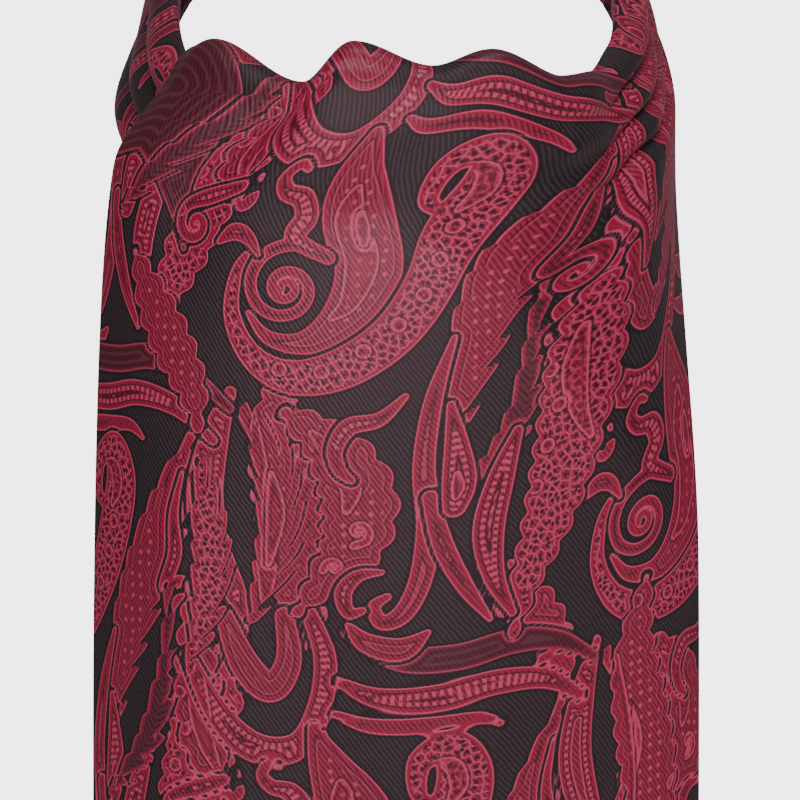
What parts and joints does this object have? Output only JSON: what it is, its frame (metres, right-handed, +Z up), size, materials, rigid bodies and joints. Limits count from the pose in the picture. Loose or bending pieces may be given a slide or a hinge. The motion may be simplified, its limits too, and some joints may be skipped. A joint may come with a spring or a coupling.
{
  "type": "silk cravat",
  "caption": "Worn silk cravat: a gathered neckband round an empty neck, a crossing over the throat, and a broad front blade that rolls over it and hangs to a point.",
  "frame": {"origin": "middle of the wearer's neck, level with the middle line of the neckband at the sides of the neck", "axes": "+Z up along the neck, -Y forwards from the wearer's throat, +X to the right of someone who looks at the wearer"},
  "size_m": [0.1504, 0.1598, 0.3545],
  "materials": {
    "silk": "satin"
  },
  "bodies": {
    "root": {"front_blade": "silk", "under_blade": "silk", "crossing": "silk", "neckband_right": "silk", "neckband_back": "silk", "neckband_left": "silk"}
  },
  "joints": []
}
